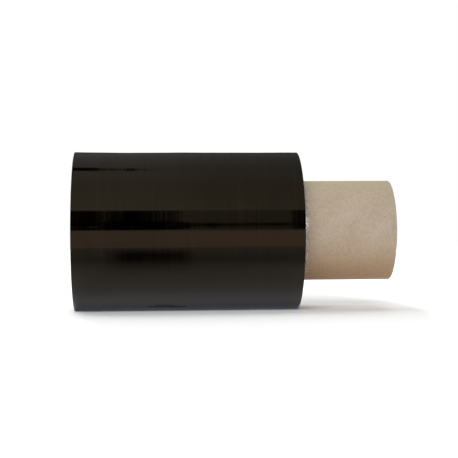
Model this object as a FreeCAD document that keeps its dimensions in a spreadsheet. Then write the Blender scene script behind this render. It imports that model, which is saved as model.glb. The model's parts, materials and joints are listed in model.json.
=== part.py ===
"""Hand roll of black stretch film wound on a long paperboard core, lying on its side.

The film is wound tight near one end of the core. The rest of the core stays bare and is the
handle: a hand holds it while the film is pulled round a bundle. Millimetres, +Z up. The roll's
axis runs along X, with the handle towards +X. The origin is on the surface that the roll lies
on, under the middle of the whole length.
"""

import FreeCAD, Part
import os

import Sketcher

# Driving dimensions: name, value, what it measures.
SIZES = (
    ("film_width", 100.0, "length of the wound film along the core"),
    ("film_build", 13.0, "radial thickness of the wound film"),
    ("core_bore", 38.0, "inside diameter of the core"),
    ("core_wall", 3.5, "wall of the core"),
    ("handle_length", 42.0, "bare core past the film"),
    ("core_proud", 0.5, "core past the film at the end with no handle"),
    ("core_chamfer", 0.25, "broken edges where the core was cut to length"),
    ("flat_width", 9.0, "flat spot that the roll's own weight presses into the film"),
    ("flare", 0.8, "extra film radius at the end with no handle"),
    ("flare_length", 68.0, "length over which the extra radius fades out"),
    ("edge_break", 0.25, "outer corners of the film, worn down by handling"),
    ("turn_bands", 8, "bands of turns that show as rings on each end of the film"),
    ("turn_step", 0.28, "deepest that a band of turns lies below the outermost turns"),
    ("lip_length", 3.2, "first turns past the end of the film, on the handle's side"),
    ("lip_build", 0.35, "radial thickness of those first turns"),
)

# Sizes that follow from the driving ones, as expressions.
FILM_INSIDE = "(sizes.core_bore / 2 + sizes.core_wall)"
FILM_OUTSIDE = f"({FILM_INSIDE} + sizes.film_build)"
FLARED_OUTSIDE = f"({FILM_OUTSIDE} + sizes.flare)"
BAND = "(sizes.film_build / sizes.turn_bands)"
AXIS_HEIGHT = f"sqrt({FILM_OUTSIDE}^2 - (sizes.flat_width / 2)^2)"
CORE_LENGTH = "(sizes.core_proud + sizes.film_width + sizes.handle_length)"

# A winding never lines its turns up quite: each band's depth is a share of turn_step, and the
# golden ratio keeps neighbours apart without repeating.
GOLDEN = 0.618034


def make_sizes(doc):
    """The sheet that holds the driving dimensions, one named cell each."""
    sheet = doc.addObject("Spreadsheet::Sheet", "sizes")
    for row, (name, value, meaning) in enumerate(SIZES, start=1):
        sheet.set(f"A{row}", name)
        sheet.set(f"B{row}", str(value))
        sheet.setAlias(f"B{row}", name)
        sheet.set(f"C{row}", meaning)
    doc.recompute()
    return sheet


def measure(sheet, expression):
    """The present value of an expression, in millimetres."""
    return float(sheet.evalExpression(expression))


def origin_feature(body, role):
    return next(item for item in body.Origin.OriginFeatures if item.Role == role)


def outline(body, sheet, name, plane, corners):
    """A closed sketch of straight edges. A corner is a pair of expressions, across and up."""
    sketch = body.newObject("Sketcher::SketchObject", name)
    sketch.AttachmentSupport = (origin_feature(body, plane), [""])
    sketch.MapMode = "FlatFace"
    spots = [
        FreeCAD.Vector(measure(sheet, across), measure(sheet, up), 0)
        for across, up in corners
    ]
    count = len(spots)
    edges = [Part.LineSegment(spots[i], spots[(i + 1) % count]) for i in range(count)]
    sketch.addGeometry(edges, False)
    rules = [Sketcher.Constraint("Coincident", i, 2, (i + 1) % count, 1) for i in range(count)]
    for i, spot in enumerate(spots):
        rules.append(Sketcher.Constraint("DistanceX", -1, 1, i, 1, spot.x))
        rules.append(Sketcher.Constraint("DistanceY", -1, 1, i, 1, spot.y))
    sketch.addConstraint(rules)
    for i, (across, up) in enumerate(corners):
        sketch.setExpression(f"Constraints[{count + 2 * i}]", across)
        sketch.setExpression(f"Constraints[{count + 2 * i + 1}]", up)
    return sketch


def turned(body, sketch, name):
    """The sketch turned once round the roll's axis, which is the sketch's horizontal axis."""
    feature = body.newObject("PartDesign::Revolution", name)
    feature.Profile = sketch
    feature.ReferenceAxis = (sketch, ["H_Axis"])
    feature.Angle = 360
    return feature


def rim_edges(feature, rims):
    """Names of the round edges at the given places, each a pair: place along the axis, radius."""
    names = []
    for number, edge in enumerate(feature.Shape.Edges, start=1):
        if not isinstance(edge.Curve, Part.Circle):
            continue
        here = FreeCAD.Vector(edge.Curve.Center.x, edge.Curve.Radius, 0)
        if any(here.isEqual(FreeCAD.Vector(along, radius, 0), 1e-4) for along, radius in rims):
            names.append(f"Edge{number}")
    return names


def lay_down(body):
    """Puts the body's axis level, at the height that its flat spot leaves."""
    body.setExpression("Placement.Base.x", f"sizes.core_proud - {CORE_LENGTH} / 2")
    body.setExpression("Placement.Base.z", AXIS_HEIGHT)


def make_core_tube(doc, sheet):
    """The core: one tube of paperboard plies, wound in a spiral, glued and cut square."""
    body = doc.addObject("PartDesign::Body", "core_tube")
    left = "-sizes.core_proud"
    right = "sizes.film_width + sizes.handle_length"
    inside = "sizes.core_bore / 2"
    wall = outline(
        body,
        sheet,
        "core_wall_section",
        "XZ_Plane",
        ((left, inside), (right, inside), (right, FILM_INSIDE), (left, FILM_INSIDE)),
    )
    tube = turned(body, wall, "core_wall_turned")
    doc.recompute()
    ends = [measure(sheet, left), measure(sheet, right)]
    radii = [measure(sheet, inside), measure(sheet, FILM_INSIDE)]
    broken = body.newObject("PartDesign::Chamfer", "cut_edges")
    broken.Base = (tube, rim_edges(tube, [(end, radius) for end in ends for radius in radii]))
    broken.setExpression("Size", "sizes.core_chamfer")
    lay_down(body)
    return body


def band_depth(band, bands, turns_ahead):
    """How far a band of turns lies below the outermost turns, as an expression."""
    if band == bands - 1:
        return "0"
    share = (band + turns_ahead) * GOLDEN % 1
    return f"(sizes.turn_step * {share:.4f})"


def film_corners(bands):
    """The film's section: stepped ends, a flared outside, and the lip over the handle."""
    corners = []
    for band in range(bands):
        depth = band_depth(band, bands, turns_ahead=1)
        corners.append((depth, f"{FILM_INSIDE} + {band} * {BAND}"))
        corners.append((depth, f"{FILM_INSIDE} + {band + 1} * {BAND}"))
    corners[-1] = ("0", FLARED_OUTSIDE)
    corners.append(("sizes.flare_length", FILM_OUTSIDE))
    for band in reversed(range(bands)):
        end = f"sizes.film_width - {band_depth(band, bands, turns_ahead=4)}"
        corners.append((end, f"{FILM_INSIDE} + {band + 1} * {BAND}"))
        corners.append((end, f"{FILM_INSIDE} + {band} * {BAND}"))
    lip_end = "sizes.film_width + sizes.lip_length"
    corners[-1] = (corners[-1][0], f"{FILM_INSIDE} + sizes.lip_build")
    corners.append((lip_end, f"{FILM_INSIDE} + sizes.lip_build"))
    corners.append((lip_end, FILM_INSIDE))
    return corners


def make_film_roll(doc, sheet):
    """The film: about 150 m wound tight on the core, so that its turns are one solid."""
    body = doc.addObject("PartDesign::Body", "film_roll")
    bands = round(measure(sheet, "sizes.turn_bands"))
    section = outline(body, sheet, "film_section", "XZ_Plane", film_corners(bands))
    wound = turned(body, section, "film_wound")
    doc.recompute()
    rims = [
        (0.0, measure(sheet, FLARED_OUTSIDE)),
        (measure(sheet, "sizes.film_width"), measure(sheet, FILM_OUTSIDE)),
    ]
    worn = body.newObject("PartDesign::Chamfer", "outer_corners")
    worn.Base = (wound, rim_edges(wound, rims))
    worn.setExpression("Size", "sizes.edge_break")
    doc.recompute()
    below = outline(
        body,
        sheet,
        "below_the_flat",
        "YZ_Plane",
        (
            (f"-{FLARED_OUTSIDE}", f"-{AXIS_HEIGHT}"),
            (f"-{FLARED_OUTSIDE}", f"-2 * {FLARED_OUTSIDE}"),
            (FLARED_OUTSIDE, f"-2 * {FLARED_OUTSIDE}"),
            (FLARED_OUTSIDE, f"-{AXIS_HEIGHT}"),
        ),
    )
    flat = body.newObject("PartDesign::Pocket", "flat_spot")
    flat.Profile = below
    flat.Type = "ThroughAll"
    flat.Reversed = True
    doc.recompute()
    if not flat.Shape.Volume < worn.Shape.Volume:
        raise RuntimeError("the flat spot took nothing off the film")
    lay_down(body)
    return body


def check(doc, bodies):
    """Stops before anything is written if a feature failed or a shape is not one sound solid."""
    failed = [item.Label for item in doc.Objects if {"Invalid", "Error"} & set(item.State)]
    if failed:
        raise RuntimeError(f"failed objects: {failed}")
    for body in bodies:
        shape = body.Shape
        if shape.isNull() or not shape.isValid() or len(shape.Solids) != 1:
            raise RuntimeError(f"{body.Label} is not one valid solid")
        box = shape.BoundBox
        print(
            f"{body.Label}: {shape.Volume / 1000:.1f} cm3,"
            f" {box.XLength:.1f} x {box.YLength:.1f} x {box.ZLength:.1f} mm"
        )


doc = FreeCAD.newDocument("stretch_film_roll")
sheet = make_sizes(doc)
bodies = [make_core_tube(doc, sheet), make_film_roll(doc, sheet)]
doc.recompute()
check(doc, bodies)
os.makedirs("parts", exist_ok=True)
for body in bodies:
    body.Shape.exportStep(f"parts/{body.Label}.step")
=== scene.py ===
"""A hand roll of black stretch film wound on a long paperboard core, lying on its side.

Metres, +Z up. The roll's axis runs along X, with the bare end of the core, its handle, towards
+X. The photograph looks along +Y. The pieces are modelled with the roll's axis on the X axis,
and then lifted to the height at which the roll lies.
"""

import json
from math import atan2, cos, hypot, pi, radians, sin

import bmesh
import bpy
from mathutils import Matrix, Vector


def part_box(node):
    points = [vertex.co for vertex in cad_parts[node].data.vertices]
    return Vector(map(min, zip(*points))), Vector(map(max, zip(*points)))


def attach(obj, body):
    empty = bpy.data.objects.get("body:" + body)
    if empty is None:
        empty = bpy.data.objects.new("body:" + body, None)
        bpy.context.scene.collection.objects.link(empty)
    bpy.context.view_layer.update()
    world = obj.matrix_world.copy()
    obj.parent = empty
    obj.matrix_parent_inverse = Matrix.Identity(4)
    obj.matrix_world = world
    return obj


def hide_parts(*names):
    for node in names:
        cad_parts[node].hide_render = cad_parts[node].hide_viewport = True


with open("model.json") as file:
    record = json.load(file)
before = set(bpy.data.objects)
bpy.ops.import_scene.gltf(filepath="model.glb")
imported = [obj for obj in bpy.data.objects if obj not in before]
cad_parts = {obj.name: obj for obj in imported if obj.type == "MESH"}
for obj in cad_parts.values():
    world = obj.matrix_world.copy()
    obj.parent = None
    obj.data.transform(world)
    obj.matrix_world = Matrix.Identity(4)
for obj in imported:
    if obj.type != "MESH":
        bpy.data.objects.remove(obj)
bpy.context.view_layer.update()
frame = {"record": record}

# The core: plies of kraft paperboard wound on a slant round a mandrel, glued into one tube and
# cut to length. The cut ends show the plies as rings, and the edges of the outermost ply meet
# in a seam that climbs round the tube like a thread.
MM = 0.001
core_low, core_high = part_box("core_tube")
CORE_LENGTH = core_high.x - core_low.x
CORE_RADIUS = (core_high.z - core_low.z) / 2
AXIS_HEIGHT = (core_high.z + core_low.z) / 2
BORE_RADIUS = next(
    mount["dims"]["r_mm"] * MM for mount in frame["record"]["mounts"] if mount["name"] == "core_bore"
)
PLIES = 8
PLY_STEP = 0.05 * MM
CORE_SEGMENTS = 240
CORE_RINGS = 90
CORE_WEAR = 0.35 * MM
SEAM_GAP = 0.35 * MM
SEAM_DEPTH = 0.12 * MM
SEAM_START = radians(-127)
PLY_LEAD = 142 * MM
NEAR = 0.02 * MM
END_FACING = 0.9


def start_piece(name):
    """Names the primitive just added and opens it for modelling with nothing selected."""
    piece = bpy.context.object
    piece.name = name
    piece.data.name = name
    bpy.ops.object.transform_apply(location=True, rotation=True, scale=True)
    bpy.ops.object.mode_set(mode="EDIT")
    bpy.ops.mesh.select_all(action="DESELECT")
    return piece


def pick(kind, wanted):
    """Selects just those VERTs, EDGEs or FACEs of the open piece that wanted says yes to."""
    bpy.ops.mesh.select_mode(type=kind)
    bpy.ops.mesh.select_all(action="DESELECT")
    mesh = bmesh.from_edit_mesh(bpy.context.edit_object.data)
    for part in {"VERT": mesh.verts, "EDGE": mesh.edges, "FACE": mesh.faces}[kind]:
        if wanted(part):
            part.select_set(True)
    mesh.select_flush_mode()
    bmesh.update_edit_mesh(bpy.context.edit_object.data)


def edge_middle(edge):
    return (edge.verts[0].co + edge.verts[1].co) / 2


def runs_along(edge):
    """True for an edge that lies along the roll's axis."""
    start, end = (vertex.co for vertex in edge.verts)
    return abs(start.x - end.x) > 10 * NEAR and (start - end).yz.length < 2 * NEAR


def on_rim(edge):
    """True for an edge round either end."""
    return any(abs(face.normal.x) > END_FACING for face in edge.link_faces)


def off_axis(point):
    return hypot(point.y, point.z)


def in_line(angle):
    """Tells whether a lengthwise edge lies at this angle round the axis, from +Y up to +Z."""
    across = Vector((0, -sin(angle), cos(angle)))
    ahead = Vector((0, cos(angle), sin(angle)))

    def chosen(edge):
        middle = edge_middle(edge)
        return runs_along(edge) and abs(middle.dot(across)) < NEAR and middle.dot(ahead) > 0

    return chosen


def resize_round(scale, **falloff):
    """Scales what is selected about the roll's axis, and not along it."""
    bpy.ops.transform.resize(value=(1, scale, scale), center_override=(0, 0, 0), **falloff)


def finish_piece(piece, smooth_angle):
    """Closes the piece, faces outwards, and lifts it to where the roll lies."""
    bpy.ops.mesh.select_mode(type="VERT")
    bpy.ops.mesh.select_all(action="SELECT")
    bpy.ops.mesh.remove_doubles(threshold=0.001 * MM)
    bpy.ops.mesh.normals_make_consistent(inside=False)
    bpy.ops.object.mode_set(mode="OBJECT")
    bpy.ops.object.shade_smooth_by_angle(angle=radians(smooth_angle))
    piece.location.z = AXIS_HEIGHT
    bpy.ops.object.transform_apply(location=True, rotation=True, scale=True)
    piece.select_set(False)


bpy.ops.object.select_all(action="DESELECT")
bpy.ops.mesh.primitive_cylinder_add(
    vertices=CORE_SEGMENTS,
    radius=CORE_RADIUS,
    depth=CORE_LENGTH,
    end_fill_type="NGON",
    location=((core_low.x + core_high.x) / 2, 0, 0),
    rotation=(0, radians(90), 0),
)
core = start_piece("paper_core")
pick("EDGE", runs_along)
bpy.ops.mesh.subdivide(number_cuts=CORE_RINGS)
pick("EDGE", on_rim)
bpy.ops.mesh.bevel(offset=CORE_WEAR, segments=3, profile=0.5)

# Each ply of the cut ends lies a hair above or below the next, with a narrow slope between them.
PLY_SLOPE = 0.14
pick("FACE", lambda face: abs(face.normal.x) > END_FACING and len(face.verts) > 4)
ply = (CORE_RADIUS - CORE_WEAR - BORE_RADIUS) / PLIES
for number in range(PLIES):
    rise = PLY_STEP if number % 2 else -PLY_STEP
    bpy.ops.mesh.inset(thickness=ply * PLY_SLOPE, depth=rise)
    bpy.ops.mesh.inset(thickness=ply * (1 - PLY_SLOPE), depth=0)
bpy.ops.mesh.delete(type="ONLY_FACE")
pick("EDGE", lambda edge: edge.is_boundary)
bpy.ops.mesh.bridge_edge_loops(number_cuts=CORE_RINGS)

# The seam is a straight groove until the whole tube is twisted to the lead of its plies.
core_segment = 2 * pi / CORE_SEGMENTS
on_seam = in_line(round(SEAM_START / core_segment) * core_segment)
pick("EDGE", on_seam)
bpy.ops.mesh.bevel(offset=SEAM_GAP / 2, segments=2, profile=0.5)
pick("EDGE", on_seam)
resize_round(1 - SEAM_DEPTH / CORE_RADIUS)
bpy.ops.object.mode_set(mode="OBJECT")
twist = core.modifiers.new("ply_lead", "SIMPLE_DEFORM")
twist.deform_method = "TWIST"
twist.deform_axis = "X"
twist.angle = 2 * pi * CORE_LENGTH / PLY_LEAD
bpy.ops.object.modifier_apply(modifier=twist.name)
bpy.ops.object.mode_set(mode="EDIT")
finish_piece(core, smooth_angle=35)


def new_material(name):
    """A material to be built on, its node tree and its shader."""
    material = bpy.data.materials.new(name)
    material.use_nodes = True
    tree = material.node_tree
    return material, tree, tree.nodes["Principled BSDF"]


def node(tree, kind, settings=None, values=None):
    """Adds a node with its settings and the values of its unlinked sockets."""
    made = tree.nodes.new(kind)
    for name, value in (settings or {}).items():
        setattr(made, name, value)
    for socket, value in (values or {}).items():
        made.inputs[socket].default_value = value
    return made


def join(tree, *links):
    """Links pairs of sockets."""
    for start, end in links:
        tree.links.new(start, end)


def ramp(tree, *stops):
    """A colour ramp with these (position, colour) stops."""
    made = tree.nodes.new("ShaderNodeValToRGB")
    elements = made.color_ramp.elements
    for element, (position, color) in ((elements[1], stops[-1]), (elements[0], stops[0])):
        element.position = position
        element.color = color
    for position, color in stops[1:-1]:
        elements.new(position).color = color
    return made


def grey(level):
    return (level, level, level, 1)


def tinted(red, green, blue):
    return (red, green, blue, 1)


# Kraft board: long fibres that follow the slant of the plies, soft blotches, dark specks of bark,
# and rims worn paler. Light is painted into its colour as well: painted shade makes the underside
# browner and darker, a painted tint of the light from above makes the top yellower, and a painted
# gradient of light makes the core paler by the film and darker towards its bare end.
KRAFT = tinted(0.45, 0.36, 0.27)
KRAFT_DARK = tinted(0.425, 0.336, 0.243)
KRAFT_PALE = tinted(0.477, 0.388, 0.3)
# The next two colours are painted light: a yellower tint where light falls on the top, and a browner,
# darker shade for the underside.
KRAFT_PAINTED_TOP_LIGHT = tinted(0.43, 0.366, 0.25)
KRAFT_PAINTED_SHADE = tinted(0.44, 0.27, 0.135)
KRAFT_WORN = tinted(0.5, 0.41, 0.31)
BARK = tinted(0.2, 0.13, 0.075)
# Where the painted gradient of light along the core begins.
PAINTED_LIGHT_FROM = 32 * MM
RIM_WEAR = 0.9 * MM
CUT_DEPTH = 0.15 * MM


def add_kraft(tree, shader):
    """Builds kraft board into a material, and returns its surface coordinates and colour."""
    place = node(tree, "ShaderNodeTexCoord")
    centred = node(tree, "ShaderNodeMapping", values={"Location": (0, 0, -AXIS_HEIGHT)})
    along = node(tree, "ShaderNodeSeparateXYZ")
    turn = node(tree, "ShaderNodeMath", {"operation": "MULTIPLY"}, {1: -2 * pi / PLY_LEAD})
    untwisted = node(tree, "ShaderNodeVectorRotate", {"rotation_type": "X_AXIS"})
    stretched = node(tree, "ShaderNodeMapping", values={"Scale": (0.3, 1, 1)})
    join(
        tree,
        (place.outputs["Object"], centred.inputs["Vector"]),
        (centred.outputs["Vector"], along.inputs["Vector"]),
        (along.outputs["X"], turn.inputs[0]),
        (centred.outputs["Vector"], untwisted.inputs["Vector"]),
        (turn.outputs["Value"], untwisted.inputs["Angle"]),
        (untwisted.outputs["Vector"], stretched.inputs["Vector"]),
    )
    blotch = node(tree, "ShaderNodeTexNoise", values={"Scale": 120, "Detail": 4, "Roughness": 0.6})
    fibre = node(tree, "ShaderNodeTexNoise", values={"Scale": 1500, "Detail": 3, "Roughness": 0.6})
    speck = node(tree, "ShaderNodeTexNoise", values={"Scale": 900, "Detail": 2, "Roughness": 0.5})
    join(
        tree,
        (centred.outputs["Vector"], blotch.inputs["Vector"]),
        (stretched.outputs["Vector"], fibre.inputs["Vector"]),
        (centred.outputs["Vector"], speck.inputs["Vector"]),
    )
    pulp = node(tree, "ShaderNodeTexNoise", values={"Scale": 1050, "Detail": 4, "Roughness": 0.7})
    grainy = ramp(tree, (0.28, grey(0.86)), (0.5, grey(1.0)), (0.72, grey(1.13)))
    pulped = node(tree, "ShaderNodeMix", {"data_type": "RGBA", "blend_type": "MULTIPLY"}, {0: 1.0})
    tone = ramp(tree, (0.3, KRAFT_DARK), (0.5, KRAFT), (0.7, KRAFT_PALE))
    strand = ramp(tree, (0.3, grey(0.94)), (0.52, grey(1.0)), (0.75, grey(1.05)))
    fibred = node(tree, "ShaderNodeMix", {"data_type": "RGBA", "blend_type": "MULTIPLY"}, {0: 1.0})
    bark = ramp(tree, (0.68, grey(0)), (0.78, grey(0.4)))
    specked = node(tree, "ShaderNodeMix", {"data_type": "RGBA"}, {7: BARK})
    # Painted light: the colour runs from a little paler by the film to a little darker at the bare end,
    # lightening the shade that the film casts on the core.
    painted_light_along = node(
        tree,
        "ShaderNodeMapRange",
        values={"From Min": PAINTED_LIGHT_FROM, "From Max": CORE_LENGTH / 2, "To Min": 1.055, "To Max": 0.95},
    )
    kraft_with_painted_light = node(tree, "ShaderNodeVectorMath", {"operation": "SCALE"})
    # Painted shade: below the axis the colour is mixed towards a browner, darker kraft.
    painted_shade_below = node(
        tree,
        "ShaderNodeMapRange",
        {"interpolation_type": "SMOOTHSTEP"},
        {"From Min": -0.1 * CORE_RADIUS, "From Max": -1.05 * CORE_RADIUS, "To Max": 0.95},
    )
    # Painted light: near the top the colour is mixed towards a yellower kraft, as light from above
    # tints it.
    painted_top_light = node(
        tree,
        "ShaderNodeMapRange",
        {"interpolation_type": "SMOOTHSTEP"},
        {"From Min": 0.45 * CORE_RADIUS, "From Max": CORE_RADIUS, "To Max": 0.9},
    )
    top_light_painted = node(tree, "ShaderNodeMix", {"data_type": "RGBA"}, {7: KRAFT_PAINTED_TOP_LIGHT})
    shade_painted_below = node(tree, "ShaderNodeMix", {"data_type": "RGBA"}, {7: KRAFT_PAINTED_SHADE})
    join(
        tree,
        (blotch.outputs["Fac"], tone.inputs["Fac"]),
        (along.outputs["Z"], painted_shade_below.inputs["Value"]),
        (painted_shade_below.outputs["Result"], shade_painted_below.inputs[0]),
        (along.outputs["Z"], painted_top_light.inputs["Value"]),
        (painted_top_light.outputs["Result"], top_light_painted.inputs[0]),
        (tone.outputs["Color"], top_light_painted.inputs[6]),
        (top_light_painted.outputs[2], shade_painted_below.inputs[6]),
        (centred.outputs["Vector"], pulp.inputs["Vector"]),
        (pulp.outputs["Fac"], grainy.inputs["Fac"]),
        (shade_painted_below.outputs[2], pulped.inputs[6]),
        (grainy.outputs["Color"], pulped.inputs[7]),
        (fibre.outputs["Fac"], strand.inputs["Fac"]),
        (pulped.outputs[2], fibred.inputs[6]),
        (strand.outputs["Color"], fibred.inputs[7]),
        (speck.outputs["Fac"], bark.inputs["Fac"]),
        (bark.outputs["Color"], specked.inputs[0]),
        (fibred.outputs[2], specked.inputs[6]),
        (along.outputs["X"], painted_light_along.inputs["Value"]),
        (specked.outputs[2], kraft_with_painted_light.inputs[0]),
        (painted_light_along.outputs["Result"], kraft_with_painted_light.inputs["Scale"]),
    )
    grain = node(tree, "ShaderNodeMath", {"operation": "MULTIPLY_ADD"}, {1: 0.5})
    bump = node(tree, "ShaderNodeBump", values={"Strength": 0.3, "Distance": 0.05 * MM})
    matte = node(tree, "ShaderNodeMapRange", values={"To Min": 0.62, "To Max": 0.82})
    join(
        tree,
        (fibre.outputs["Fac"], grain.inputs[0]),
        (blotch.outputs["Fac"], grain.inputs[2]),
        (grain.outputs["Value"], bump.inputs["Height"]),
        (bump.outputs["Normal"], shader.inputs["Normal"]),
        (fibre.outputs["Fac"], matte.inputs["Value"]),
        (matte.outputs["Result"], shader.inputs["Roughness"]),
    )
    return centred.outputs["Vector"], kraft_with_painted_light.outputs["Vector"]


material, tree, shader = new_material("kraft_board")
surface, color = add_kraft(tree, shader)
along = node(tree, "ShaderNodeSeparateXYZ")
to_end = node(tree, "ShaderNodeMath", {"operation": "ABSOLUTE"})
worn = node(
    tree,
    "ShaderNodeMapRange",
    values={"From Min": CORE_LENGTH / 2 - RIM_WEAR, "From Max": CORE_LENGTH / 2, "To Max": 0.45},
)
rim = node(tree, "ShaderNodeMix", {"data_type": "RGBA"}, {7: KRAFT_WORN})
join(
    tree,
    (surface, along.inputs["Vector"]),
    (along.outputs["X"], to_end.inputs[0]),
    (to_end.outputs["Value"], worn.inputs["Value"]),
    (worn.outputs["Result"], rim.inputs[0]),
    (color, rim.inputs[6]),
    (rim.outputs[2], shader.inputs["Base Color"]),
)
core.data.materials.append(material)

# The cut ends: rings of plies, each a little paler or darker than the next, with a dark line of
# glue between them.
material, tree, shader = new_material("cut_plies")
surface, color = add_kraft(tree, shader)
along = node(tree, "ShaderNodeSeparateXYZ")
radius = node(tree, "ShaderNodeMath", {"operation": "POWER"}, {1: 0.5})
square_y = node(tree, "ShaderNodeMath", {"operation": "MULTIPLY"})
square_sum = node(tree, "ShaderNodeMath", {"operation": "MULTIPLY_ADD"})
in_ply = node(tree, "ShaderNodeMath", {"operation": "DIVIDE"}, {1: ply})
glue = node(tree, "ShaderNodeMath", {"operation": "FRACT"})
line = ramp(tree, (0.0, grey(0.5)), (0.16, grey(0.75)), (0.26, grey(1.0)), (0.9, grey(1.06)))
lined = node(tree, "ShaderNodeMix", {"data_type": "RGBA", "blend_type": "MULTIPLY"}, {0: 1.0})
which_ply = node(tree, "ShaderNodeMath", {"operation": "FLOOR"})
ply_shade = node(tree, "ShaderNodeTexWhiteNoise", {"noise_dimensions": "1D"})
shade = node(tree, "ShaderNodeMapRange", values={"To Min": 0.8, "To Max": 1.1})
shaded = node(tree, "ShaderNodeVectorMath", {"operation": "SCALE"})
join(
    tree,
    (surface, along.inputs["Vector"]),
    (along.outputs["Y"], square_y.inputs[0]),
    (along.outputs["Y"], square_y.inputs[1]),
    (along.outputs["Z"], square_sum.inputs[0]),
    (along.outputs["Z"], square_sum.inputs[1]),
    (square_y.outputs["Value"], square_sum.inputs[2]),
    (square_sum.outputs["Value"], radius.inputs[0]),
    (radius.outputs["Value"], in_ply.inputs[0]),
    (in_ply.outputs["Value"], glue.inputs[0]),
    (glue.outputs["Value"], line.inputs["Fac"]),
    (in_ply.outputs["Value"], which_ply.inputs[0]),
    (which_ply.outputs["Value"], ply_shade.inputs["W"]),
    (ply_shade.outputs["Value"], shade.inputs["Value"]),
    (color, shaded.inputs[0]),
    (shade.outputs["Result"], shaded.inputs["Scale"]),
    (shaded.outputs["Vector"], lined.inputs[6]),
    (line.outputs["Color"], lined.inputs[7]),
    (lined.outputs[2], shader.inputs["Base Color"]),
)
core.data.materials.append(material)


def wear_on(piece, slot_number, wanted):
    """Gives the piece's chosen faces the material in this slot."""
    bpy.context.view_layer.objects.active = piece
    piece.select_set(True)
    bpy.ops.object.mode_set(mode="EDIT")
    pick("FACE", wanted)
    piece.active_material_index = slot_number
    bpy.ops.object.material_slot_assign()
    bpy.ops.object.mode_set(mode="OBJECT")
    piece.select_set(False)


wear_on(core, 1, lambda face: abs(face.calc_center_median().x) > CORE_LENGTH / 2 - CUT_DEPTH)

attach(core, "root")
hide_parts("core_tube")

# The wound film and its loose end: one long strip of black stretch film, wound tight so that its
# turns are one body. Uneven film makes faint bands round it, it is a little fatter at the end
# away from the handle, and its own weight has pressed a narrow flat where it lies.
film_low, film_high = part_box("film_roll")
FILM_LEFT = film_low.x
FLARE_RADIUS = film_high.z - AXIS_HEIGHT
FILM_RADIUS = 35.5 * MM
LIP_LENGTH = 3.2 * MM
FILM_RIGHT = film_high.x - LIP_LENGTH
FILM_LENGTH = FILM_RIGHT - FILM_LEFT
FLARE_LENGTH = 68 * MM
FILM_SEGMENTS = 320
FILM_RINGS = 99
FILM_EDGE = 0.14 * MM
FILM_LEAN = radians(-0.25)
TURN_RINGS = 26
TURN_STEP = 0.12 * MM
TURN_SLOPE = 0.04 * MM
GOLDEN = 0.618034
# Bands of thicker and thinner film: how far from the left end each is, how far it reaches both
# ways, and by how much it stands out, in mm.
GAUGE_BANDS = (
    (14, 52, -0.46),
    (12, 6, 0.035),
    (23, 5, -0.03),
    (47, 7, 0.03),
    (58, 6, -0.03),
    (70, 7, 0.03),
    (83, 6, -0.03),
    (94, 5, 0.02),
)
# Creases: where each starts and ends from the left end, its angle, its width and its depth, in mm
# and degrees.
CREASES = (
    (33, 49, -110.5, 1.3, 0.45),
    (36, 44, -114, 1.0, 0.35),
)

bpy.ops.mesh.primitive_cylinder_add(
    vertices=FILM_SEGMENTS,
    radius=FILM_RADIUS,
    depth=FILM_LENGTH,
    end_fill_type="NGON",
    location=((FILM_LEFT + FILM_RIGHT) / 2, 0, 0),
    rotation=(0, radians(90), 0),
)
film = start_piece("wound_film")
pick("EDGE", runs_along)
bpy.ops.mesh.subdivide(number_cuts=FILM_RINGS)
pick("EDGE", on_rim)
bpy.ops.mesh.bevel(offset=FILM_EDGE, segments=3, profile=0.5)

# The ends: rings of turns, each a share of TURN_STEP deep. The golden ratio keeps neighbours apart.
for facing in (-1, 1):
    pick("FACE", lambda face: face.normal.x * facing > END_FACING and len(face.verts) > 4)
    turns = (FILM_RADIUS - FILM_EDGE - CORE_RADIUS) / TURN_RINGS
    depth = 0.0
    for ring in range(TURN_RINGS):
        deeper = -TURN_STEP * (ring * GOLDEN * (2 + facing) % 1)
        bpy.ops.mesh.inset(thickness=TURN_SLOPE, depth=deeper - depth)
        bpy.ops.mesh.inset(thickness=turns - TURN_SLOPE, depth=0)
        depth = deeper
    bpy.ops.mesh.delete(type="ONLY_FACE")
pick("EDGE", lambda edge: edge.is_boundary)
bpy.ops.mesh.bridge_edge_loops()

# Creases in the outermost turn: lengthwise folds that the winding has pressed flat.
film_segment = 2 * pi / FILM_SEGMENTS
for start, end, angle, width, fold_depth in CREASES:
    on_line = in_line(round(radians(angle) / film_segment) * film_segment)
    low_x, high_x = FILM_LEFT + start * MM, FILM_LEFT + end * MM

    def on_crease(edge):
        middle = edge_middle(edge)
        return low_x < middle.x < high_x and off_axis(middle) > 0.9 * FILM_RADIUS and on_line(edge)

    pick("EDGE", on_crease)
    bpy.ops.mesh.bevel(offset=width * MM / 2, segments=2, profile=0.5)
    pick("EDGE", on_crease)
    resize_round(1 - fold_depth * MM / FILM_RADIUS)

# The fatter end: its rim is scaled up, and the surface follows it, less and less, as it goes.
pick(
    "VERT",
    lambda vertex: vertex.co.x < FILM_LEFT + 10 * NEAR and off_axis(vertex.co) > FILM_RADIUS - NEAR,
)
resize_round(
    FLARE_RADIUS / FILM_RADIUS,
    use_proportional_edit=True,
    use_proportional_connected=True,
    proportional_edit_falloff="LINEAR",
    proportional_size=FLARE_LENGTH,
)
for centre, reach, rise in GAUGE_BANDS:
    pick(
        "VERT",
        lambda vertex: abs(vertex.co.x - FILM_LEFT - centre * MM) < 0.6 * MM
        and off_axis(vertex.co) > FILM_RADIUS - 0.1 * MM,
    )
    resize_round(
        1 + rise * MM / FILM_RADIUS,
        use_proportional_edit=True,
        use_proportional_connected=True,
        proportional_edit_falloff="SMOOTH",
        proportional_size=reach * MM,
    )

# The left end was not wound quite square, so that it leans in a little at the top.
pick(
    "VERT",
    lambda vertex: vertex.co.x < FILM_LEFT + 0.3 * MM and off_axis(vertex.co) > CORE_RADIUS + NEAR,
)
bpy.ops.transform.rotate(value=FILM_LEAN, orient_axis="Y", center_override=(FILM_LEFT, 0, 0))

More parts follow.
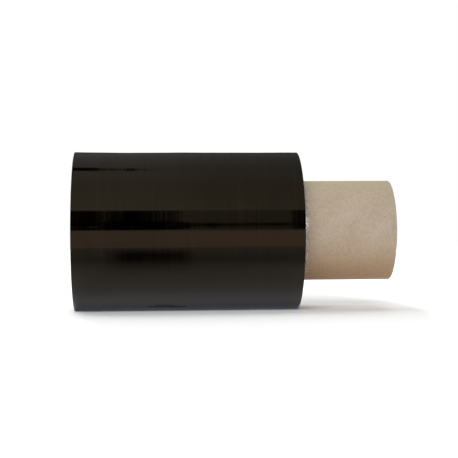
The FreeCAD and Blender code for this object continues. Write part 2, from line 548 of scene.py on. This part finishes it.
# The flat: everything below the surface that the roll lies on is pressed up to it.
pick("VERT", lambda vertex: vertex.co.z < -AXIS_HEIGHT)
bpy.ops.transform.resize(value=(1, 1, 0), center_override=(0, 0, -AXIS_HEIGHT))

# The loose end, at the back: the last of the film wound on. It is a copy of the outside under it,
# laid over it with its free edge lifted a hair, and it holds by cling alone. Pulls in the edge:
# how far from the left end each is, how far it reaches both ways, and how far it goes, in mm.
TAIL_EDGE = radians(33)
TAIL_ARC = radians(38)
TAIL_LIFT = 0.16 * MM
TAIL_ROOT = 0.03 * MM
TAIL_INSET = 0.6 * MM
TAIL_THICKNESS = 0.03 * MM
TAIL_PULLS = ((6, 16, 0.9), (27, 13, -0.7), (49, 15, 0.5), (71, 12, -0.8), (93, 17, 1.1))


def round_axis(point):
    """The angle of a point round the roll's axis, from +Y up to +Z."""
    return atan2(point.z, point.y)


def on_tail(face):
    middle = face.calc_center_median()
    from_ends = min(middle.x - FILM_LEFT, FILM_RIGHT - middle.x)
    outside = from_ends > TAIL_INSET and off_axis(middle) > 0.9 * FILM_RADIUS
    return outside and TAIL_EDGE < round_axis(middle) < TAIL_EDGE + TAIL_ARC


def on_free_edge(vertex):
    return round_axis(vertex.co) < TAIL_EDGE + 0.6 * film_segment


pick("FACE", on_tail)
bpy.ops.mesh.duplicate()
bpy.ops.mesh.separate(type="SELECTED")
finish_piece(film, smooth_angle=40)

tail = next(piece for piece in bpy.context.selected_objects if piece is not film)
bpy.context.view_layer.objects.active = tail
tail.name = "film_tail"
tail.data.name = "film_tail"
bpy.ops.object.mode_set(mode="EDIT")
bpy.ops.mesh.select_all(action="SELECT")
resize_round(1 - TAIL_ROOT / FILM_RADIUS)
pick("VERT", on_free_edge)
resize_round(
    1 + (TAIL_LIFT + TAIL_ROOT) / FILM_RADIUS,
    use_proportional_edit=True,
    use_proportional_connected=True,
    proportional_edit_falloff="ROOT",
    proportional_size=TAIL_ARC * FILM_RADIUS,
)
for centre, reach, pull in TAIL_PULLS:
    pick(
        "VERT",
        lambda vertex: on_free_edge(vertex)
        and abs(vertex.co.x - FILM_LEFT - centre * MM) < 0.6 * MM,
    )
    bpy.ops.transform.rotate(
        value=pull * MM / FILM_RADIUS,
        orient_axis="X",
        center_override=(0, 0, 0),
        use_proportional_edit=True,
        use_proportional_connected=True,
        proportional_edit_falloff="SMOOTH",
        proportional_size=reach * MM,
    )
bpy.ops.object.mode_set(mode="OBJECT")
thick = tail.modifiers.new("film_thickness", "SOLIDIFY")
thick.thickness = TAIL_THICKNESS
thick.offset = 0
bpy.ops.object.modifier_apply(modifier=thick.name)
bpy.ops.object.mode_set(mode="EDIT")
finish_piece(tail, smooth_angle=40)


def turn_streaks():
    """The marks that winding leaves round a roll: fine streaks and broad bands."""
    group = bpy.data.node_groups.new("turn_streaks", "ShaderNodeTree")
    group.interface.new_socket("Vector", in_out="INPUT", socket_type="NodeSocketVector")
    for name, value in (("Streaks per metre", 900), ("Bands per metre", 120)):
        socket = group.interface.new_socket(name, in_out="INPUT", socket_type="NodeSocketFloat")
        socket.default_value = value
    for name in ("Streak", "Band"):
        group.interface.new_socket(name, in_out="OUTPUT", socket_type="NodeSocketFloat")
    given = group.nodes.new("NodeGroupInput")
    result = group.nodes.new("NodeGroupOutput")
    around = node(group, "ShaderNodeMapping", values={"Scale": (1, 0.035, 0.035)})
    broad = node(group, "ShaderNodeMapping", values={"Scale": (1, 0.16, 0.16)})
    streak = node(group, "ShaderNodeTexNoise", values={"Detail": 3, "Roughness": 0.65})
    band = node(group, "ShaderNodeTexNoise", values={"Detail": 3, "Roughness": 0.5})
    join(
        group,
        (given.outputs["Vector"], around.inputs["Vector"]),
        (given.outputs["Vector"], broad.inputs["Vector"]),
        (around.outputs["Vector"], streak.inputs["Vector"]),
        (broad.outputs["Vector"], band.inputs["Vector"]),
        (given.outputs["Streaks per metre"], streak.inputs["Scale"]),
        (given.outputs["Bands per metre"], band.inputs["Scale"]),
        (streak.outputs["Fac"], result.inputs["Streak"]),
        (band.outputs["Fac"], result.inputs["Band"]),
    )
    return group


STREAKS = turn_streaks()

# The outside: smooth, glossy black film. Where air is caught between the turns it is a little
# paler and duller, in bands and streaks round the roll. In one patch on the front the turns cling
# with no air between them, and the film is at its blackest.
FILM_GLOSS = 0.33
GLOSS_TINT = tinted(1, 0.8, 0.52)
CLING_PLACE = (-43 * MM, -FILM_RADIUS, 0)
CLING_REACH = (14 * MM, 12 * MM, 15 * MM)
material, tree, shader = new_material("black_stretch_film")
shader.inputs["Specular IOR Level"].default_value = FILM_GLOSS
shader.inputs["Specular Tint"].default_value = GLOSS_TINT
place = node(tree, "ShaderNodeTexCoord")
centred = node(tree, "ShaderNodeMapping", values={"Location": (0, 0, -AXIS_HEIGHT)})
marks = node(tree, "ShaderNodeGroup", {"node_tree": STREAKS})
caught_air = node(tree, "ShaderNodeMath", {"operation": "MULTIPLY"})
clinging = node(
    tree,
    "ShaderNodeMapping",
    {"vector_type": "TEXTURE"},
    {"Location": CLING_PLACE, "Scale": CLING_REACH},
)
from_clinging = node(tree, "ShaderNodeVectorMath", {"operation": "LENGTH"})
ragged = node(tree, "ShaderNodeMath", {"operation": "MULTIPLY_ADD"}, {1: 2.4})
loose = node(tree, "ShaderNodeMapRange", values={"From Min": 1.75, "From Max": 2.2})
air = node(tree, "ShaderNodeMath", {"operation": "MULTIPLY"})
haze = ramp(
    tree,
    (0.0, grey(0)),
    (0.16, tinted(0.0004, 0.0003, 0.0002)),
    (0.3, tinted(0.0019, 0.0013, 0.0008)),
    (0.45, tinted(0.004, 0.003, 0.0019)),
)
dull = node(
    tree,
    "ShaderNodeMapRange",
    values={"From Min": 0.3, "From Max": 0.7, "To Min": 0.03, "To Max": 0.08},
)
swell = node(tree, "ShaderNodeMath", {"operation": "MULTIPLY_ADD"}, {1: 0.35})
bump = node(tree, "ShaderNodeBump", values={"Strength": 0.5, "Distance": 0.06 * MM})
join(
    tree,
    (place.outputs["Object"], centred.inputs["Vector"]),
    (centred.outputs["Vector"], marks.inputs["Vector"]),
    (marks.outputs["Streak"], caught_air.inputs[0]),
    (marks.outputs["Band"], caught_air.inputs[1]),
    (centred.outputs["Vector"], clinging.inputs["Vector"]),
    (clinging.outputs["Vector"], from_clinging.inputs[0]),
    (marks.outputs["Streak"], ragged.inputs[0]),
    (from_clinging.outputs["Value"], ragged.inputs[2]),
    (ragged.outputs["Value"], loose.inputs["Value"]),
    (caught_air.outputs["Value"], air.inputs[0]),
    (loose.outputs["Result"], air.inputs[1]),
    (air.outputs["Value"], haze.inputs["Fac"]),
    (haze.outputs["Color"], shader.inputs["Base Color"]),
    (marks.outputs["Band"], dull.inputs["Value"]),
    (dull.outputs["Result"], shader.inputs["Roughness"]),
    (marks.outputs["Streak"], swell.inputs[0]),
    (marks.outputs["Band"], swell.inputs[2]),
    (swell.outputs["Value"], bump.inputs["Height"]),
    (bump.outputs["Normal"], shader.inputs["Normal"]),
)
film.data.materials.append(material)
tail.data.materials.append(material)

# The ends: the edges of many hundred turns, a dark satin face of fine rings, some of them paler.
material, tree, shader = new_material("film_turn_edges")
shader.inputs["Specular IOR Level"].default_value = 0.3
place = node(tree, "ShaderNodeTexCoord")
centred = node(
    tree,
    "ShaderNodeMapping",
    values={"Location": (0, 0, -AXIS_HEIGHT), "Scale": (0, 1, 1)},
)
from_axis = node(tree, "ShaderNodeVectorMath", {"operation": "LENGTH"})
flattened = node(tree, "ShaderNodeCombineXYZ")
marks = node(
    tree,
    "ShaderNodeGroup",
    {"node_tree": STREAKS},
    {"Streaks per metre": 2600, "Bands per metre": 380},
)
rings = node(tree, "ShaderNodeMath", {"operation": "MULTIPLY"})
face_tone = ramp(
    tree,
    (0.14, tinted(0.004, 0.0036, 0.0032)),
    (0.26, tinted(0.012, 0.011, 0.01)),
    (0.42, tinted(0.035, 0.033, 0.031)),
)
dull = node(
    tree,
    "ShaderNodeMapRange",
    values={"From Min": 0.3, "From Max": 0.7, "To Min": 0.3, "To Max": 0.5},
)
bump = node(tree, "ShaderNodeBump", values={"Strength": 0.6, "Distance": 0.05 * MM})
join(
    tree,
    (place.outputs["Object"], centred.inputs["Vector"]),
    (centred.outputs["Vector"], from_axis.inputs[0]),
    (from_axis.outputs["Value"], flattened.inputs["X"]),
    (flattened.outputs["Vector"], marks.inputs["Vector"]),
    (marks.outputs["Streak"], rings.inputs[0]),
    (marks.outputs["Band"], rings.inputs[1]),
    (rings.outputs["Value"], face_tone.inputs["Fac"]),
    (face_tone.outputs["Color"], shader.inputs["Base Color"]),
    (marks.outputs["Band"], dull.inputs["Value"]),
    (dull.outputs["Result"], shader.inputs["Roughness"]),
    (marks.outputs["Streak"], bump.inputs["Height"]),
    (bump.outputs["Normal"], shader.inputs["Normal"]),
)
film.data.materials.append(material)


def on_film_end(face):
    """True for the faces of the two ends, but not for the flat that the roll lies on."""
    middle = face.calc_center_median()
    depth = min(middle.x - FILM_LEFT, FILM_RIGHT - middle.x)
    rim = FLARE_RADIUS if middle.x < 0 else FILM_RADIUS
    inside_rim = hypot(middle.y, middle.z - AXIS_HEIGHT) < rim - 0.2 * MM
    return depth < 0.45 * MM and inside_rim and middle.z > NEAR


wear_on(film, 1, on_film_end)

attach(film, "root")
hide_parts("film_roll")
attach(tail, "root")

# The first turns: the innermost film stands out past the rest at the handle end, where it clings
# to the core as a thin crumpled collar of nearly clear film.
LIP_RADIUS = CORE_RADIUS + 0.25 * MM
LIP_ROOT = 0.5 * MM
LIP_SEGMENTS = 200
LIP_CUTS = 9
LIP_THICKNESS = 0.05 * MM
# Crumples: the share of the collar's length at which each starts, and what it scales by.
LIP_CRUMPLES = ((0.4, 0.997), (0.75, 0.996), (0.2, 1.004), (0.95, 0.997), (0.55, 1.005))

bpy.ops.mesh.primitive_cylinder_add(
    vertices=LIP_SEGMENTS,
    radius=LIP_RADIUS,
    depth=LIP_LENGTH + LIP_ROOT,
    end_fill_type="NOTHING",
    location=(FILM_RIGHT + (LIP_LENGTH - LIP_ROOT) / 2, 0, 0),
    rotation=(0, radians(90), 0),
)
lip = start_piece("first_turns")
pick("EDGE", runs_along)
bpy.ops.mesh.subdivide(number_cuts=LIP_CUTS)
for turn, (start, scale) in enumerate(LIP_CRUMPLES):
    pick(
        "VERT",
        lambda vertex: vertex.co.x > FILM_RIGHT + start * LIP_LENGTH - 0.25 * MM
        and sin(vertex.co.y * 2100 * (turn + 1)) + cos(vertex.co.z * 3700 + turn) > 0.5,
    )
    resize_round(scale)
# Its edge is ragged: parts of it are pushed back.
pick(
    "VERT",
    lambda vertex: vertex.co.x > FILM_RIGHT + LIP_LENGTH - NEAR
    and sin(vertex.co.y * 900 + vertex.co.z * 1500) > 0.1,
)
bpy.ops.transform.translate(value=(-0.3 * MM, 0, 0))
bpy.ops.object.mode_set(mode="OBJECT")
thick = lip.modifiers.new("film_thickness", "SOLIDIFY")
thick.thickness = LIP_THICKNESS
thick.offset = 0
bpy.ops.object.modifier_apply(modifier=thick.name)
bpy.ops.object.mode_set(mode="EDIT")
finish_piece(lip, smooth_angle=30)

# Nearly clear film, milky where it is crumpled, with pale specks that are partly real milkiness and
# partly painted glints, and whitest in a patch on the front, a painted highlight for a glint of light.
GLINT_PLACE = (FILM_RIGHT + 2 * MM, -LIP_RADIUS, AXIS_HEIGHT + 3 * MM)
GLINT_REACH = (1.2 * MM, 5 * MM, 5 * MM)
material, tree, shader = new_material("clear_first_turns")
shader.inputs["IOR"].default_value = 1.5
shader.inputs["Specular IOR Level"].default_value = 0.5
place = node(tree, "ShaderNodeTexCoord")
milk = node(tree, "ShaderNodeTexNoise", values={"Scale": 800, "Detail": 3})
# Painted highlight: a patch on the front where the film is whiter and less clear, standing for a glint
# of light.
painted_glint = node(
    tree,
    "ShaderNodeMapping",
    {"vector_type": "TEXTURE"},
    {"Location": GLINT_PLACE, "Scale": GLINT_REACH},
)
from_painted_glint = node(tree, "ShaderNodeVectorMath", {"operation": "LENGTH"})
glint_whitening = node(
    tree,
    "ShaderNodeMapRange",
    values={"From Min": 0.3, "From Max": 1.3, "To Min": 0.27, "To Max": 0.0},
)
milk_and_glint = node(tree, "ShaderNodeMath", {"operation": "ADD"})
tone = ramp(tree, (0.4, tinted(0.45, 0.42, 0.38)), (0.8, tinted(0.95, 0.95, 0.93)))
cover = node(
    tree,
    "ShaderNodeMapRange",
    values={"From Min": 0.45, "From Max": 0.85, "To Min": 0.05, "To Max": 0.95},
)
smear = node(tree, "ShaderNodeMapRange", values={"To Min": 0.08, "To Max": 0.3})
bump = node(tree, "ShaderNodeBump", values={"Strength": 0.6, "Distance": 0.1 * MM})
join(
    tree,
    (place.outputs["Object"], milk.inputs["Vector"]),
    (place.outputs["Object"], painted_glint.inputs["Vector"]),
    (painted_glint.outputs["Vector"], from_painted_glint.inputs[0]),
    (from_painted_glint.outputs["Value"], glint_whitening.inputs["Value"]),
    (milk.outputs["Fac"], milk_and_glint.inputs[0]),
    (glint_whitening.outputs["Result"], milk_and_glint.inputs[1]),
    (milk_and_glint.outputs["Value"], tone.inputs["Fac"]),
    (tone.outputs["Color"], shader.inputs["Base Color"]),
    (milk_and_glint.outputs["Value"], cover.inputs["Value"]),
    (cover.outputs["Result"], shader.inputs["Alpha"]),
    (milk.outputs["Fac"], smear.inputs["Value"]),
    (smear.outputs["Result"], shader.inputs["Roughness"]),
    (milk.outputs["Fac"], bump.inputs["Height"]),
    (bump.outputs["Normal"], shader.inputs["Normal"]),
)
lip.data.materials.append(material)

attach(lip, "root")

# What the photograph was taken in: a pale floor and soft light from all round, and the camera
# level with the roll, a little left of its middle and turned a little to the right.
PHOTO_SIDE = 458
FOCAL_PIXELS = 1208.2
bpy.ops.object.select_all(action="DESELECT")
bpy.ops.object.camera_add(
    location=(-36.1 * MM, -547.6 * MM, 31.0 * MM),
    rotation=(radians(90.535), radians(0.41), radians(-3.620)),
)
camera = bpy.context.object
camera.name = "photo_camera"
camera.data.sensor_width = 36
camera.data.lens = 36 * FOCAL_PIXELS / PHOTO_SIDE
camera.data.clip_start = 0.01
bpy.context.scene.camera = camera

bpy.ops.mesh.primitive_plane_add(size=8, location=(0, 0, 0))
floor = bpy.context.object
floor.name = "floor"

# The floor: white, and for the camera it glows faintly near the roll and plainly further off, so
# that the background is white; the stronger glow past an oval round the roll is painted light that
# washes out the roll's shadow there. The gloss sees darker strips on it, along the roll in front and
# behind, placed by their distance from the axis as a share of STRIP_REACH, and one dark spot: these
# are painted reflections for the film, which the camera does not see.
FLOOR_WHITE = 0.97
CAMERA_GLOW = 0.025
BACKGROUND_GLOW = 0.36
NEAR_ROLL = ((6.5 * MM, 0), (78 * MM, 200 * MM))
STRIP_REACH = 200 * MM
SPOT_PLACE = (-36 * MM, -67 * MM)
SPOT_ACROSS = 20 * MM
SPOT_AHEAD = 28 * MM
SPOT_DARK = 0.95
ENDLESS = 9


def soft_oval(tree, vector, centre, size, hardness, inside, outside):
    """A value that is one number inside an oval and another outside, with a soft edge between."""
    oval = node(
        tree,
        "ShaderNodeMapping",
        {"vector_type": "TEXTURE"},
        {"Location": (*centre, 0), "Scale": (*size, 1)},
    )
    away = node(tree, "ShaderNodeVectorMath", {"operation": "LENGTH"})
    edge = node(
        tree,
        "ShaderNodeMapRange",
        values={"From Min": hardness, "From Max": 1.1, "To Min": inside, "To Max": outside},
    )
    join(
        tree,
        (vector, oval.inputs["Vector"]),
        (oval.outputs["Vector"], away.inputs[0]),
        (away.outputs["Value"], edge.inputs["Value"]),
    )
    return edge.outputs["Result"]


def times(tree, first, second):
    """Multiplies two values."""
    product = node(tree, "ShaderNodeMath", {"operation": "MULTIPLY"})
    join(tree, (first, product.inputs[0]), (second, product.inputs[1]))
    return product.outputs["Value"]


material = bpy.data.materials.new("pale_floor")
material.use_nodes = True
tree = material.node_tree
tree.nodes.clear()
out = tree.nodes.new("ShaderNodeOutputMaterial")
paint = node(tree, "ShaderNodeBsdfDiffuse")
glow = node(tree, "ShaderNodeEmission")
both = node(tree, "ShaderNodeAddShader")
place = node(tree, "ShaderNodeTexCoord")
across = node(tree, "ShaderNodeSeparateXYZ")
distance = node(tree, "ShaderNodeMath", {"operation": "ABSOLUTE"})
reach = node(tree, "ShaderNodeMath", {"operation": "DIVIDE"}, {1: STRIP_REACH})
# Painted reflections: strips of floor colour and glow that only the gloss sees, for the film to mirror.
mirrored_paint = ramp(
    tree,
    (0.17, tinted(0.84, 0.88, 1.0)),
    (0.29, tinted(0.4, 0.42, 0.5)),
    (0.49, tinted(0.54, 0.57, 0.66)),
    (0.515, tinted(0.88, 0.74, 0.72)),
)
mirrored_glow = ramp(
    tree,
    (0.055, tinted(0.11, 0.12, 0.15)),
    (0.1, tinted(0.4, 0.43, 0.51)),
    (0.19, tinted(0.34, 0.37, 0.45)),
    (0.29, grey(0.06)),
    (0.49, grey(0.02)),
    (0.515, tinted(0.13, 0.1, 0.08)),
)
seen = node(tree, "ShaderNodeLightPath")
mirrored = node(tree, "ShaderNodeMath", {"operation": "MAXIMUM"})
background = node(tree, "ShaderNodeMath", {"operation": "MAXIMUM"})
white = node(tree, "ShaderNodeMix", {"data_type": "RGBA"}, {6: grey(FLOOR_WHITE)})
glow_color = node(tree, "ShaderNodeMix", {"data_type": "RGBA"})
dark_spot = node(tree, "ShaderNodeMix", {"data_type": "RGBA"}, {6: grey(0)})
on_floor = place.outputs["Object"]
# Painted light: outside this oval the glow grows, which washes out the roll's shadow on the floor.
camera_glow = soft_oval(tree, on_floor, *NEAR_ROLL, 0.93, CAMERA_GLOW, BACKGROUND_GLOW)
# Painted reflection: a dark spot in front of the roll, seen only in gloss, which darkens the film's
# reflection there.
spot_across = soft_oval(tree, on_floor, SPOT_PLACE, (SPOT_ACROSS, ENDLESS), 0.6, 1, 0)
spot_ahead = soft_oval(tree, on_floor, SPOT_PLACE, (ENDLESS, SPOT_AHEAD), 0.2, 1, 0)
spot = node(tree, "ShaderNodeMath", {"operation": "MULTIPLY_ADD"}, {1: -SPOT_DARK, 2: 1})
join(
    tree,
    (on_floor, across.inputs["Vector"]),
    (across.outputs["Y"], distance.inputs[0]),
    (distance.outputs["Value"], reach.inputs[0]),
    (reach.outputs["Value"], mirrored_paint.inputs["Fac"]),
    (reach.outputs["Value"], mirrored_glow.inputs["Fac"]),
    (seen.outputs["Is Glossy Ray"], mirrored.inputs[0]),
    (seen.outputs["Is Transmission Ray"], mirrored.inputs[1]),
    (mirrored.outputs["Value"], background.inputs[0]),
    (seen.outputs["Is Camera Ray"], background.inputs[1]),
    (times(tree, spot_across, spot_ahead), spot.inputs[0]),
    (spot.outputs["Value"], dark_spot.inputs[0]),
    (mirrored_paint.outputs["Color"], dark_spot.inputs[7]),
    (mirrored.outputs["Value"], white.inputs[0]),
    (dark_spot.outputs[2], white.inputs[7]),
    (white.outputs[2], paint.inputs["Color"]),
    (camera_glow, glow_color.inputs[6]),
    (mirrored.outputs["Value"], glow_color.inputs[0]),
    (mirrored_glow.outputs["Color"], glow_color.inputs[7]),
    (glow_color.outputs[2], glow.inputs["Color"]),
    (background.outputs["Value"], glow.inputs["Strength"]),
    (glow.outputs[0], both.inputs[0]),
    (paint.outputs[0], both.inputs[1]),
    (both.outputs[0], out.inputs["Surface"]),
)
floor.data.materials.append(material)


def soft_lamp(name, energy, tilt, turn, spread):
    """A large soft lamp far off: its tilt from overhead and its turn round the roll, in degrees."""
    bpy.ops.object.light_add(
        type="SUN", location=(0, 0, 1), rotation=(radians(tilt), 0, radians(turn))
    )
    lamp = bpy.context.object
    lamp.name = name
    lamp.data.energy = energy
    lamp.data.angle = radians(spread)
    lamp.visible_glossy = False


soft_lamp("overhead_lamp", 1.66, tilt=-34, turn=13, spread=66)
soft_lamp("front_lamp", 1.76, tilt=55, turn=-11, spread=38)

# The room: even soft light, which the camera sees white. The gloss sees a pale ceiling with a
# dark beam high on the left, a darker back wall, and low in front a dark opening. A height is a
# share of the half turn from the floor in front, up over the ceiling, to the floor behind.
ROOM_LIGHT = 0.277
world = bpy.data.worlds.new("studio")
bpy.context.scene.world = world
world.use_nodes = True
tree = world.node_tree
tree.nodes.clear()
out = tree.nodes.new("ShaderNodeOutputWorld")
seen = node(tree, "ShaderNodeLightPath")
direction = node(tree, "ShaderNodeTexCoord")
part = node(tree, "ShaderNodeSeparateXYZ")
toward = node(tree, "ShaderNodeMath", {"operation": "MULTIPLY"}, {1: -1})
climb = node(tree, "ShaderNodeMath", {"operation": "ARCTAN2"})
height = node(tree, "ShaderNodeMath", {"operation": "DIVIDE"}, {1: pi})
wall_place = node(tree, "ShaderNodeCombineXYZ")
walls = ramp(
    tree,
    (0.0, grey(0.9)),
    (0.004, grey(0.9)),
    (0.012, grey(0.0)),
    (0.160, grey(0.0)),
    (0.166, grey(0.88)),
    (0.27, grey(0.78)),
    (0.41, grey(0.68)),
    (0.5, grey(0.6)),
    (0.578, grey(0.46)),
    (0.739, grey(0.25)),
    (0.93, grey(0.05)),
    (1.0, grey(0.05)),
)
opening = ramp(
    tree,
    (0.004, grey(0.0)),
    (0.012, grey(0.34)),
    (0.034, grey(0.3)),
    (0.042, grey(0.06)),
    (0.054, grey(0.06)),
    (0.068, grey(0.4)),
    (0.160, grey(0.44)),
    (0.166, grey(0.0)),
)
from_left = node(tree, "ShaderNodeMapRange", values={"From Min": -0.1, "From Max": 0.15})
opening_side = ramp(
    tree,
    (0.405, grey(0.03)),
    (0.475, grey(0.95)),
    (0.86, grey(0.8)),
    (0.895, grey(0.0)),
)
ceiling_side = node(
    tree,
    "ShaderNodeMapRange",
    values={"From Min": -0.04, "From Max": 0.1, "To Min": 1.0, "To Max": 0.72},
)
lit_sum = node(tree, "ShaderNodeMath", {"operation": "ADD"})
gloss_light = node(tree, "ShaderNodeMath", {"operation": "ADD"})
as_gloss = node(tree, "ShaderNodeMix", values={2: ROOM_LIGHT})
as_camera = node(tree, "ShaderNodeMix", values={3: 1.0})
sky = node(tree, "ShaderNodeBackground", values={"Color": grey(1)})
on_wall = wall_place.outputs["Vector"]
hole = soft_oval(tree, on_wall, (-0.006, 0.042), (0.062, 0.038), 0.8, 0, 1)
beam = soft_oval(tree, on_wall, (-0.09, 0.558), (0.085, 0.031), 0.75, 0, 1)
corner = soft_oval(tree, on_wall, (-0.086, 0.52), (0.009, 0.05), 0.6, 0, 1)
gleam = soft_oval(tree, on_wall, (-0.08, 0.034), (0.055, 0.012), 0.4, 0.45, 0)
lit_opening = times(tree, times(tree, opening.outputs["Color"], opening_side.outputs["Color"]), hole)
ceiling = times(tree, walls.outputs["Color"], ceiling_side.outputs["Result"])
ceiling = times(tree, times(tree, ceiling, beam), corner)
join(
    tree,
    (direction.outputs["Generated"], part.inputs["Vector"]),
    (part.outputs["Y"], toward.inputs[0]),
    (part.outputs["Z"], climb.inputs[0]),
    (toward.outputs["Value"], climb.inputs[1]),
    (climb.outputs["Value"], height.inputs[0]),
    (part.outputs["X"], wall_place.inputs["X"]),
    (height.outputs["Value"], wall_place.inputs["Y"]),
    (height.outputs["Value"], walls.inputs["Fac"]),
    (height.outputs["Value"], opening.inputs["Fac"]),
    (part.outputs["X"], from_left.inputs["Value"]),
    (from_left.outputs["Result"], opening_side.inputs["Fac"]),
    (part.outputs["X"], ceiling_side.inputs["Value"]),
    (lit_opening, lit_sum.inputs[0]),
    (gleam, lit_sum.inputs[1]),
    (lit_sum.outputs["Value"], gloss_light.inputs[0]),
    (ceiling, gloss_light.inputs[1]),
    (seen.outputs["Is Glossy Ray"], as_gloss.inputs[0]),
    (gloss_light.outputs["Value"], as_gloss.inputs[3]),
    (seen.outputs["Is Camera Ray"], as_camera.inputs[0]),
    (as_gloss.outputs[0], as_camera.inputs[2]),
    (as_camera.outputs[0], sky.inputs["Strength"]),
    (sky.outputs[0], out.inputs["Surface"]),
)

bpy.context.scene.view_settings.view_transform = "Standard"
